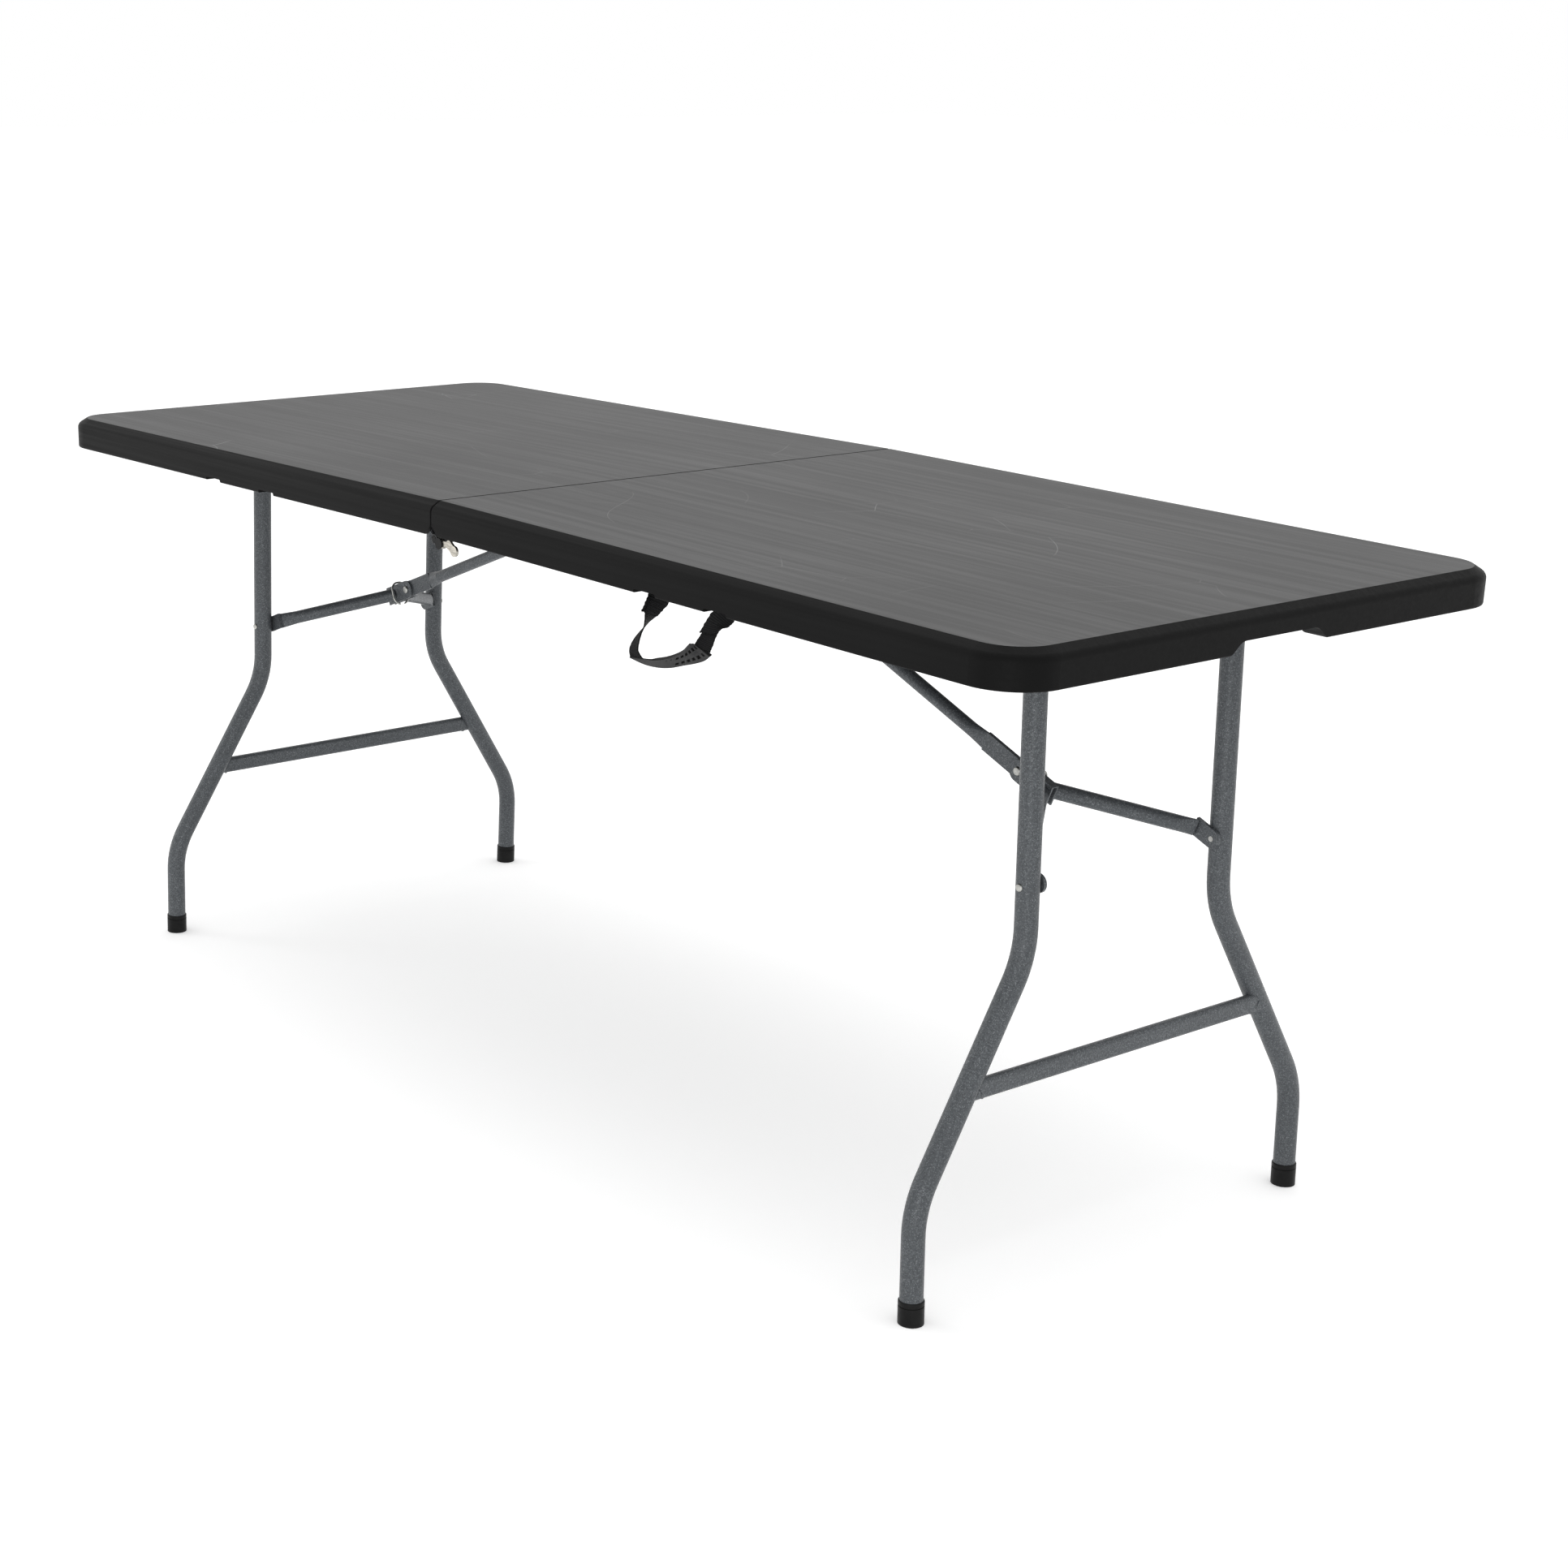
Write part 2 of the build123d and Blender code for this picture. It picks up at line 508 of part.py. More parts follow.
def arm():
    """The back arm: from the channel's cheek out to a flattened tab on the leg's inner side."""
    start = Vector(ARM_START, ARM_START_Y, 0)
    end = Vector(ARM_LONG - TAB_LONG + 4, TAB_Y + TAB_THICK / 2 - 3, 0)
    direction = (end - start).normalized()
    begin = start - direction * 6
    path_plane = Plane(origin=begin, x_dir=(0, 0, 1), z_dir=direction)
    squeeze = 24.0
    body_length = (end - begin).length - squeeze
    body = extrude(path_plane * Circle(ARM_TUBE / 2), body_length)
    near = Plane(origin=begin + direction * body_length, x_dir=(0, 0, 1), z_dir=direction)
    far = Plane(origin=end, x_dir=(0, 0, 1), z_dir=(1, 1, 0))
    body += loft([near * Circle(ARM_TUBE / 2), far * Ellipse(10.5, TAB_THICK / 2 + 0.6)])
    tab = block(ARM_LONG - TAB_LONG, ARM_LONG, TAB_Y, TAB_Y + TAB_THICK, -10.5, 10.5)
    tab += Pos(ARM_LONG, 0, 0) * rod_y(10.5, TAB_Y, TAB_Y + TAB_THICK)
    body += tab
    body -= block(-50, 120, -40, ARM_START_Y - 0.5, -40, 40)
    body -= block(0, ARM_LONG + 40, TAB_Y + TAB_THICK, TAB_Y + 60, -40, 40)
    return body - Pos(ARM_LONG, 0, 0) * rod_y(RIVET / 2 + 0.02, 100, 160)


def tab_rivet(side):
    """The rivet's closed end, seen on the tab's inner face."""
    pin = rod_y(RIVET / 2, side * (TAB_Y - 0.4), side * (TAB_Y + TAB_THICK - 0.2))
    return Pos(ARM_LONG, 0, 0) * pin


def lock_ring():
    """The wire ring round the channel, its two ends a little apart underneath."""
    plane = Plane(origin=(RING_AT, 0, -RING_DROP), x_dir=(0, 1, 0), z_dir=(1, 0, 0))
    outline = plane * RectangleRounded(RING_WIDE - RING_WIRE, RING_TALL - RING_WIRE, 11.0)
    path = outline.wire()
    section = Plane(origin=path @ 0, z_dir=path % 0) * Circle(RING_WIRE / 2)
    ring = sweep(section, path=path)
    split = Pos(RING_AT, 0, -RING_DROP - RING_TALL / 2) * Box(20, RING_SPLIT, 12)
    return ring - split


# ---- latch and handle, on the front side of the right half ---------------------------------------
LATCH = Pos(12.5, -HINGE_FACE_Y, 700.4)
LEVER_NECK = (18.5, 1.0)    # from the latch pivot to the spoon, and on to its knob
LEVER_KNOB = (28.0, -5.0)
LEVER_THICK = 3.0


def latch_lever():
    """The bare metal lever: a round eye, a neck, and a spoon with a knob-like end."""
    y0 = -LEVER_THICK - 0.4
    y1 = -0.4
    plate = rod_y(6.2, y0, y1)
    plate += sloped_bar((0, 0), LEVER_NECK, 3.5, y0, y1)
    plate += Pos(LEVER_NECK[0], 0, LEVER_NECK[1]) * rod_y(5.5, y0, y1)
    plate += sloped_bar(LEVER_NECK, LEVER_KNOB, 5.0, y0, y1)
    plate += Pos(LEVER_KNOB[0], 0, LEVER_KNOB[1]) * rod_y(6.2, y0, y1)
    return plate - rod_y(RIVET / 2 + RUNNING_FIT, -5, 5)


def sloped_bar(start, end, half_wide, y0, y1):
    """A straight bar between two points of the XZ plane."""
    run = math.hypot(end[0] - start[0], end[1] - start[1])
    lean = math.degrees(math.atan2(start[1] - end[1], end[0] - start[0]))
    return Pos(start[0], 0, start[1]) * Rot(0, lean, 0) * block(0, run, y0, y1, -half_wide, half_wide)


def latch_pivot():
    """The lever's pivot, held by the hinge leaf."""
    pin = rod_y(RIVET / 2, -5.2, 0)
    head = rod_y(6.6, -5.2, -3.7)
    return pin + head


def grip_path():
    """The centre line of the grip, sagging between its two ends, in the plane of the handle."""
    return ThreePointArc((360, 0, 630), (413, 0, 634.5), (465, 0, 659))


def handle_grip():
    """The moulded grip on the webbing handle, a flat curved bar."""
    path = grip_path()
    section = Plane(origin=path @ 0, x_dir=(0, 0.6, -0.8), z_dir=path % 0) * RectangleRounded(24, 5, 2)
    return Pos(0, HANDLE_Y, 0) * sweep(section, path=path)


STRAP_STRAIGHT = 21.0       # how far a strap hangs straight down before it leans towards the grip


def strap(x_top, x_low, z_low):
    """A webbing strap from its rod down to the grip, with the loop round the rod."""
    rod = in_half(x_top, 0, HANDLE_ROD_DOWN)
    outer = Cylinder(HANDLE_ROD / 2 + WEBBING_THICK + 0.3, WEBBING_WIDE)
    loop = Pos(rod.X, HANDLE_Y, rod.Z) * Rot(0, 90, 0) * (outer - Cylinder(HANDLE_ROD / 2 + 0.3, WEBBING_WIDE))
    start = rod.Z - HANDLE_ROD / 2 - 1.2
    turn = rod.Z - STRAP_STRAIGHT
    plane = Plane(origin=(0, HANDLE_Y, 0), x_dir=(1, 0, 0), z_dir=(0, -1, 0))
    half = WEBBING_WIDE / 2
    outline = Polyline((rod.X - half, start), (rod.X + half, start), (rod.X + half, turn),
                       (x_low + half, z_low), (x_low - half, z_low), (rod.X - half, turn),
                       (rod.X - half, start))
    band = extrude(plane * make_face(outline), WEBBING_THICK / 2, both=True)
    return loop + band


def handle_rods():
    """The two steel rods across the notches, which the straps loop round."""
    return [Pos(in_half(x, HANDLE_Y, HANDLE_ROD_DOWN)) * Rot(0, 90 + TILT, 0)
            * Cylinder(HANDLE_ROD / 2, ROD_LONG) for x in STRAP_AT]


# ---- assembly -----------------------------------------------------------------------------------
def right_side():
    """Every piece that both halves have, for the right half, by name and in place."""
    pieces = {"brace_bracket": HALF * brace_bracket(),
              "brace_pin": BRACE * headed_pin(CHEEK_GAP + 0.2 + CHEEK_THICK),
              "leg_pivot_tube": LEG * pivot_tube(),
              "crossbar": LEG * crossbar(),
              "brace_tube": BRACE * brace_tube(),
              "knee_channel": KNEE * knee_channel(),
              "knee_rivet": KNEE * headed_pin(CHEEK_GAP + CHEEK_THICK + 0.3),
              "lock_ring": KNEE * lock_ring()}
    groups = {"rail_screws": [HALF * s for s in rail_screws()],
              "bracket_screws": [HALF * s for s in bracket_screws()],
              "pivot_saddles": [HALF * saddle(side) for side in (-1, 1)],
              "hinge_rivets": [HALF * s for s in tab_rivets()],
              "leg_rivets": [LEG * arm_rivet(side) for side in (-1, 1)],
              "arm_rivets": [KNEE * tab_rivet(side) for side in (-1, 1)]}
    for name, solids in groups.items():
        pieces[name] = Compound(solids)
    for place, makers in ((HALF, {"rail": rail}), (LEG, {"leg_tube": leg_tube, "foot_cap": foot_cap}),
                          (KNEE, {"arm": arm})):
        for name, maker in makers.items():
            for side, piece in both_sides(maker).items():
                pieces[f"{name}_{side}"] = place * piece
    return pieces


def whole_table():
    """All nodes of the table by name."""
    nodes = {}
    for name, piece in right_side().items():
        stem, _, side = name.rpartition("_")
        if side in ("front", "back"):
            opposite = "back" if side == "front" else "front"
            nodes[f"{stem}_right_{side}"] = piece
            nodes[f"{stem}_left_{opposite}"] = TURN * piece
        else:
            nodes[f"{name}_right"] = piece
            nodes[f"{name}_left"] = TURN * piece
    nodes["tabletop_right"] = HALF * rod_holes(tabletop(NOTCH_AT, -1))
    nodes["tabletop_left"] = TURN * HALF * tabletop(LEFT_NOTCH_AT, 1)
    for side, piece in both_sides(lambda: leaf(RIGHT_SPANS)).items():
        piece = piece + mirror(latch_ear(), about=Plane.XZ) if side == "front" else piece
        nodes[f"hinge_leaf_right_{side}"] = HALF * piece
    for side, piece in both_sides(lambda: leaf(LEFT_SPANS)).items():
        opposite = "back" if side == "front" else "front"
        nodes[f"hinge_leaf_left_{opposite}"] = TURN * HALF * piece
    for side, piece in both_sides(hinge_pin).items():
        nodes[f"hinge_pin_{side}"] = Pos(HINGE_AXIS) * piece
    nodes["latch_lever"] = LATCH * latch_lever()
    nodes["latch_pivot"] = LATCH * latch_pivot()
    nodes["handle_grip"] = handle_grip()
    nodes["handle_strap_left"] = strap(STRAP_AT[0], 361, 638.5)
    nodes["handle_strap_right"] = strap(STRAP_AT[1], 466, 669)
    nodes["handle_rods"] = Compound(handle_rods())
    return nodes


def main():
    os.makedirs("parts", exist_ok=True)
    for name, shape in whole_table().items():
        export_step(shape, f"parts/{name}.step")
    print("brace", round(BRACE_LONG, 2), "arm", round(ARM_LONG, 2), "slope", round(BRACE_SLOPE, 3))
    print("pivots", LEG_PIVOT, ARM_PIVOT, BRACE_PIVOT, KNEE.position, HINGE_AXIS)
    folded_leg = 90 + LEG_SPLAY + TILT
    print("leg fold", round(folded_leg, 3), "brace swing", round(BRACE_SLOPE - TILT, 3))


main()
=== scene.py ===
# %% [markdown]
# # A fold-in-half table
# This lesson dresses a finished frame: two moulded plastic halves, folding steel legs and a webbing
# carry handle. The frame already has every hard part at its real size, so most of the work here is
# materials, and the soft handle that a solid modeller can't make look right. Units are metres.

# %% Load the frame
import math

import bmesh
import bpy
from mathutils import Matrix, Vector


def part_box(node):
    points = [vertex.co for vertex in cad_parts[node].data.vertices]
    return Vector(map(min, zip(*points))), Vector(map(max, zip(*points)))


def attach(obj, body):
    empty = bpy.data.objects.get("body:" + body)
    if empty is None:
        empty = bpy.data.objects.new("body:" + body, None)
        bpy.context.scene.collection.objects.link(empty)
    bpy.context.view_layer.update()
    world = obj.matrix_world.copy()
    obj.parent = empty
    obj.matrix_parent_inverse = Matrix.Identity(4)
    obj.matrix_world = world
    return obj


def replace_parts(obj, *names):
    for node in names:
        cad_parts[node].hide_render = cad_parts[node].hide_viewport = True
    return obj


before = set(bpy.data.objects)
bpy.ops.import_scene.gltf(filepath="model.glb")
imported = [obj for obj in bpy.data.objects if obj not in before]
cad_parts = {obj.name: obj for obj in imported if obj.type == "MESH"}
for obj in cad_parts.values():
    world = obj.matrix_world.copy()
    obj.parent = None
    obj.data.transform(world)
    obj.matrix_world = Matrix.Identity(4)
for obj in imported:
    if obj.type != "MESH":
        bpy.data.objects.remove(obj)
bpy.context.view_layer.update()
MM = 0.001
print("frame pieces:", len(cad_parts))

# %% [markdown]
# ## Colour and node helpers
# A colour picked on a screen is an sRGB hex value, but a shader works in linear light, so one
# function converts them all. A second small function adds any node with its settings and links,
# which keeps each material readable from top to bottom.

# %% Helpers for materials
NOISE, RAMP, RANGE = "ShaderNodeTexNoise", "ShaderNodeValToRGB", "ShaderNodeMapRange"
MIX, MATH, BUMP, MAPPING = "ShaderNodeMix", "ShaderNodeMath", "ShaderNodeBump", "ShaderNodeMapping"
COLOURS = {"data_type": "RGBA"}     # a Mix node that mixes colours: i0 is how far from i6 to i7


def linear(hex_value):
    channels = [int(hex_value[i:i + 2], 16) / 255 for i in (1, 3, 5)]
    return [c / 12.92 if c <= 0.04045 else ((c + 0.055) / 1.055) ** 2.4 for c in channels] + [1.0]


def add(tree, kind, settings=None, **inputs):
    """Adds a node. Settings are its options; "stops" are a colour ramp's (position, hex) pairs.

    Inputs are given by name, with _ for a space, or as i and a number. Each is a value, a socket to
    link, or a node whose first output is linked.
    """
    node = tree.nodes.new(kind)
    for key, value in (settings or {}).items():
        if key == "stops":
            marks = node.color_ramp.elements
            marks[0].position, marks[-1].position = value[0][0], value[-1][0]
            for position, _hex in value[1:-1]:
                marks.new(position)
            for mark, (_position, hex_value) in zip(marks, value):
                mark.color = linear(hex_value)
        else:
            setattr(node, key, value)
    for key, value in inputs.items():
        by_number = key[0] == "i" and key[1:].isdigit()
        socket = node.inputs[int(key[1:])] if by_number else node.inputs[key.replace("_", " ")]
        fill(tree, socket, value)
    return node


def fill(tree, socket, value):
    """Sets a socket to a value, or links it to a socket or to a node's first output."""
    if isinstance(value, bpy.types.Node):
        value = value.outputs[0]
    if isinstance(value, bpy.types.NodeSocket):
        tree.links.new(value, socket)
    else:
        socket.default_value = value


def start_material(name, **shader):
    """A new material with its shader and the piece's own coordinates, in metres."""
    material = bpy.data.materials.new(name)
    material.use_nodes = True
    tree = material.node_tree
    body = tree.nodes["Principled BSDF"]
    for key, value in shader.items():
        body.inputs[key.replace("_", " ")].default_value = value
    place = add(tree, "ShaderNodeTexCoord")
    return material, tree, body, place


# %% [markdown]
# ## Blow-moulded polyethylene
# The top is high-density polyethylene, blown into a mould and coloured right through. Its flat face
# has a fine sanded-looking grain and the rim is smoother. The face is painted mid grey as painted
# sheen from the light above, and the rim much darker as painted shade. Boxes and trays dragged
# along a table leave long faint streaks, mostly lengthwise, and a few curved scratches. Stretched
# noise gives streaks: the same noise, squeezed a hundred times along X, becomes lines about 4 mm
# apart, with wider bands 12 mm apart. The scratches are the borders between warped cells, a couple
# of tenths of a millimetre wide, shown only in places.

# %% Marks on the top
def lengthwise_streaks(tree, spot):
    along = add(tree, MAPPING, Vector=spot, Scale=(1.6, 240.0, 240.0))
    return add(tree, NOISE, Vector=along, Scale=1.0, Detail=6.0, Roughness=0.62)


def curved_scratches(tree, spot):
    bend = add(tree, NOISE, Vector=spot, Scale=2.2, Detail=1.0)
    curved = add(tree, MIX, COLOURS, i0=0.22, i6=spot, i7=bend.outputs["Color"]).outputs[2]
    arcs = add(tree, "ShaderNodeTexVoronoi", {"feature": "DISTANCE_TO_EDGE"}, Vector=curved, Scale=9.0)
    hair = add(tree, RANGE, Value=arcs, From_Min=0.0, From_Max=0.0022, To_Min=1.0, To_Max=0.0)
    fade = add(tree, NOISE, Vector=spot, Scale=7.0, Detail=2.0)
    some = add(tree, RANGE, Value=fade, From_Min=0.53, From_Max=0.66)
    return add(tree, MATH, {"operation": "MULTIPLY"}, i0=hair, i1=some)


# %% [markdown]
# The flat face and the rim share one material. A value that follows the surface's own upward
# direction is 1 on the face and 0 on the rim, and picks between two sets of greys: a lighter set on
# the face that is painted sheen, and a darker set on the rim that is painted shade.

# %% Moulded top
def moulded_polyethylene():
    material, tree, body, place = start_material("polyethylene_blow_moulded", IOR=1.52, Metallic=0.0)
    spot = place.outputs["Object"]
    upward = add(tree, "ShaderNodeSeparateXYZ", Vector=place.outputs["Normal"]).outputs["Z"]
    flat = add(tree, RANGE, Value=upward, From_Min=0.90, From_Max=0.995)
    streaks = lengthwise_streaks(tree, spot)
    wide = add(tree, MAPPING, Vector=spot, Scale=(1.6, 85.0, 85.0))
    bands = add(tree, NOISE, Vector=wide, Scale=1.0, Detail=3.0, Roughness=0.5)
    cloud = add(tree, NOISE, Vector=spot, Scale=2.4, Detail=3.0, Roughness=0.5)

    # The face greys are a lit copy of the plastic: painted sheen, lighter than the plastic's own colour.
    sheen_painted_face_greys = [(0.32, "#292929"), (0.5, "#383838"), (0.68, "#565656")]
    face = add(tree, RAMP, {"stops": sheen_painted_face_greys}, Fac=streaks)
    much = add(tree, RANGE, Value=bands, From_Min=0.42, From_Max=0.66, To_Max=0.6)
    face = add(tree, MIX, COLOURS, i0=much, i6=face, i7=linear("#545454")).outputs[2]
    much = add(tree, RANGE, Value=cloud, From_Min=0.35, From_Max=0.7, To_Max=0.5)
    face = add(tree, MIX, COLOURS, i0=much, i6=face, i7=linear("#313131")).outputs[2]
    scratch = curved_scratches(tree, spot)
    face = add(tree, MIX, COLOURS, i0=scratch, i6=face, i7=linear("#868686")).outputs[2]

    # The rim blacks are a shaded copy of the same plastic: painted shade, darker than its own colour.
    shade_painted_rim_blacks = [(0.3, "#090909"), (0.6, "#0c0c0c"), (0.8, "#101010")]
    rim = add(tree, RAMP, {"stops": shade_painted_rim_blacks}, Fac=cloud)
    much = add(tree, RANGE, Value=streaks, From_Min=0.6, From_Max=0.8, To_Max=0.25)
    rim = add(tree, MIX, COLOURS, i0=much, i6=rim, i7=linear("#1c1c1c")).outputs[2]
    # The upward value picks the painted-sheen face greys or the painted-shade rim greys.
    both = add(tree, MIX, COLOURS, i0=flat, i6=rim, i7=face).outputs[2]

    rough = add(tree, RANGE, Value=streaks, From_Min=0.3, From_Max=0.75, To_Min=0.44, To_Max=0.60)
    shine = add(tree, RANGE, Value=flat, From_Min=0.0, From_Max=1.0, To_Min=0.07, To_Max=0.2)
    grain = add(tree, NOISE, Vector=spot, Scale=900.0, Detail=2.0, Roughness=0.6)
    fine = add(tree, BUMP, Height=grain, Distance=0.12 * MM, Strength=0.5)
    relief = add(tree, BUMP, Height=streaks, Distance=0.08 * MM, Strength=0.35, Normal=fine)
    fill(tree, body.inputs["Base Color"], both)
    fill(tree, body.inputs["Roughness"], rough)
    fill(tree, body.inputs["Specular IOR Level"], shine)
    fill(tree, body.inputs["Normal"], relief)
    return material


plastic_top = moulded_polyethylene()
print("made", plastic_top.name)

# %% [markdown]
# ## Hammered powder coat
# The legs are steel tube under a grey hammered powder coat: tiny light flecks in a darker binder,
# over a faint orange-peel surface. A Voronoi cell per fleck gives every fleck its own brightness,
# and the coat gets a clear gloss, so a tube shows one narrow bright line with sparkle in it. Real
# flecks are about a third of a millimetre, too fine to show from across a room, so they are drawn
# a little under a millimetre wide.

# %% Powder-coated steel
def hammered_coat(name, dark, middle, light, fleck_mm=0.8):
    material, tree, body, place = start_material(
        name, IOR=1.5, Metallic=0.15, Specular_IOR_Level=0.22, Coat_Weight=0.05, Coat_Roughness=0.25)
    spot = place.outputs["Object"]
    cells = add(tree, "ShaderNodeTexVoronoi", Vector=spot, Scale=1000 / fleck_mm)
    chance = add(tree, "ShaderNodeSeparateColor", Color=cells.outputs["Color"])
    peel = add(tree, NOISE, Vector=spot, Scale=420.0, Detail=3.0, Roughness=0.6)
    cloud = add(tree, NOISE, Vector=spot, Scale=9.0, Detail=2.0)
    base = add(tree, RAMP, {"stops": [(0.32, dark), (0.52, middle), (0.72, light)]}, Fac=peel)
    fleck_greys = [(0.0, dark), (0.5, middle), (0.85, light), (1.0, "#9da1a4")]
    flecks = add(tree, RAMP, {"stops": fleck_greys}, Fac=chance)
    speckled = add(tree, MIX, COLOURS, i0=0.4, i6=base, i7=flecks).outputs[2]
    much = add(tree, RANGE, Value=cloud, From_Min=0.3, From_Max=0.7, To_Max=0.25)
    toned = add(tree, MIX, COLOURS, i0=much, i6=speckled, i7=linear(dark)).outputs[2]
    rough = add(tree, RANGE, Value=chance, From_Min=0.0, From_Max=1.0, To_Min=0.5, To_Max=0.28)
    fill(tree, body.inputs["Base Color"], toned)
    fill(tree, body.inputs["Roughness"], rough)
    fill(tree, body.inputs["Normal"], add(tree, BUMP, Height=peel, Distance=0.30 * MM, Strength=0.7))
    return material


leg_coat = hammered_coat("steel_hammered_powder_coat", "#3c3f42", "#4c4f52", "#606467")
rail_coat = hammered_coat("steel_dark_powder_coat", "#1d1d1f", "#28282a", "#3a3a3d")
print("made", leg_coat.name, rail_coat.name)

# %% [markdown]
# ## Bare and plated steel
# Rivets, pins and the wire rings are zinc plated: a soft grey with faint blotches. The latch lever
# is stamped steel with a rolled grain and brighter edges. A metal's colour is its reflection, so
# both get full metallic and keep the usual index of refraction.

# %% Metals
def plated(name, dark, light, rough, grain):
    material, tree, body, place = start_material(name, Metallic=1.0)
    spot = add(tree, MAPPING, Vector=place.outputs["Object"], Scale=grain)
    blotch = add(tree, NOISE, Vector=spot, Scale=160.0, Detail=4.0, Roughness=0.6)
    dull = add(tree, RANGE, Value=blotch, From_Min=0.3, From_Max=0.7, To_Min=rough, To_Max=rough + 0.15)
    greys = add(tree, RAMP, {"stops": [(0.3, dark), (0.7, light)]}, Fac=blotch)
    fill(tree, body.inputs["Base Color"], greys)
    fill(tree, body.inputs["Roughness"], dull)
    fill(tree, body.inputs["Normal"], add(tree, BUMP, Height=blotch, Distance=0.08 * MM, Strength=0.5))
    return material


zinc = plated("steel_zinc_plated", "#8d8d8a", "#bebeba", 0.32, (1, 1, 1))
bare_steel = plated("steel_stamped_bare", "#8c8880", "#d2cdc2", 0.28, (1, 1, 6))
print("made", zinc.name, bare_steel.name)

# %% [markdown]
# ## Moulded black plastic
# The feet, the saddles and the grip are injection moulded: near black, slightly greasy, with a fine
# spark-eroded texture from the mould. Scuffs show as lighter, rougher patches. The floors of the
# grip's dimples get a still darker copy, which is painted shade in the recesses.

# %% Black plastics
def moulded_black(name, dark, light, rough):
    material, tree, body, place = start_material(name, IOR=1.5, Specular_IOR_Level=0.14)
    spot = place.outputs["Object"]
    scuff = add(tree, NOISE, Vector=spot, Scale=60.0, Detail=5.0, Roughness=0.65)
    spark = add(tree, NOISE, Vector=spot, Scale=1400.0, Detail=2.0)
    dull = add(tree, RANGE, Value=scuff, From_Min=0.35, From_Max=0.75, To_Min=rough, To_Max=rough + 0.18)
    blacks = add(tree, RAMP, {"stops": [(0.35, dark), (0.75, light)]}, Fac=scuff)
    fill(tree, body.inputs["Base Color"], blacks)
    fill(tree, body.inputs["Roughness"], dull)
    fill(tree, body.inputs["Normal"], add(tree, BUMP, Height=spark, Distance=0.1 * MM, Strength=0.5))
    return material


foot_plastic = moulded_black("nylon_injection_moulded", "#0b0b0b", "#181818", 0.36)
grip_plastic = moulded_black("grip_injection_moulded", "#222223", "#3a3a3a", 0.40)
# A near-black copy for the floors of the grip's dimples: painted shade in the recesses, not a different
# plastic.
dimple_painted_shade_plastic = moulded_black("grip_dimple_painted_shade", "#020202", "#050505", 0.6)
print("made", foot_plastic.name, grip_plastic.name)

# %% [markdown]
# ## Nylon webbing
# The straps are woven nylon. From a few metres away a weave shows as ribs across the strap. The
# ribs follow the strap when it twists, so this material reads the strap's own UV map, which holds
# distances along and across it in metres: one wave per rib, and a finer one for the warp.

# %% Webbing
def nylon_webbing(rib_mm=2.2, warp_mm=1.5):
    material, tree, body, place = start_material(
        "nylon_woven_webbing", IOR=1.53, Roughness=0.62, Specular_IOR_Level=0.08)
    flat = add(tree, "ShaderNodeSeparateXYZ", Vector=place.outputs["UV"])
    waves = []
    for distance, wave_mm in ((flat.outputs["X"], rib_mm), (flat.outputs["Y"], warp_mm)):
        turns = 2 * math.pi / (wave_mm * MM)
        angle = add(tree, MATH, {"operation": "MULTIPLY"}, i0=distance, i1=turns)
        waves.append(add(tree, MATH, {"operation": "SINE"}, i0=angle))
    rib, warp = waves
    weave = add(tree, MATH, {"operation": "MULTIPLY_ADD"}, i0=warp, i1=0.4, i2=rib)
    wander = add(tree, NOISE, Vector=place.outputs["Object"], Scale=300.0, Detail=3.0)
    worn = add(tree, MATH, {"operation": "MULTIPLY_ADD"}, i0=wander, i1=1.2, i2=weave)
    shade = add(tree, RANGE, Value=worn, From_Min=-0.9, From_Max=2.0)
    blacks = [(0.0, "#020202"), (0.5, "#060607"), (1.0, "#141416")]
    fill(tree, body.inputs["Base Color"], add(tree, RAMP, {"stops": blacks}, Fac=shade))
    fill(tree, body.inputs["Normal"], add(tree, BUMP, Height=weave, Distance=0.28 * MM, Strength=0.8))
    return material


def polyester_thread():
    material, tree, body, place = start_material(
        "polyester_stitching", IOR=1.5, Roughness=0.5, Specular_IOR_Level=0.15)
    twist = add(tree, NOISE, Vector=place.outputs["Object"], Scale=1500.0, Detail=1.0)
    greys = [(0.3, "#101012"), (0.7, "#232326")]
    fill(tree, body.inputs["Base Color"], add(tree, RAMP, {"stops": greys}, Fac=twist))
    return material


webbing = nylon_webbing()
thread = polyester_thread()
print("made", webbing.name, thread.name)

# %% [markdown]
# ## Giving each hard piece its finish
# Every node of the frame is named for what it is, so its finish follows from the start of its name.
# The meshes come with one slot each, and only what is in the slot changes.

# %% Finishes by name
FINISHES = (
    (("tabletop",), plastic_top),
    (("rail_left", "rail_right", "hinge_leaf"), rail_coat),
    (("rail_screws", "bracket_screws", "hinge_rivets", "leg_rivets", "arm_rivets", "knee_rivet",
      "brace_pin", "lock_ring", "handle_rods"), zinc),
    (("latch_lever",), bare_steel),
    (("foot_cap", "pivot_saddles", "hinge_pin", "latch_pivot"), foot_plastic),
    (("leg_tube", "leg_pivot", "crossbar", "brace_tube", "brace_bracket", "knee_channel", "arm_left",
      "arm_right"), leg_coat),
)


def finish_for(name):
    for starts, material in FINISHES:
        if name.startswith(starts):
            return material
    return grip_plastic


for name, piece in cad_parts.items():
    material = finish_for(name)
    if piece.data.materials:
        for index in range(len(piece.data.materials)):
            piece.data.materials[index] = material
    else:
        piece.data.materials.append(material)
print("finished", len(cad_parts), "pieces")


# %% [markdown]
# ## From bmesh to a piece
# Each new piece is shaped as a bmesh, written to a mesh in place, smoothed where faces meet gently,
# and told which body it rides on.

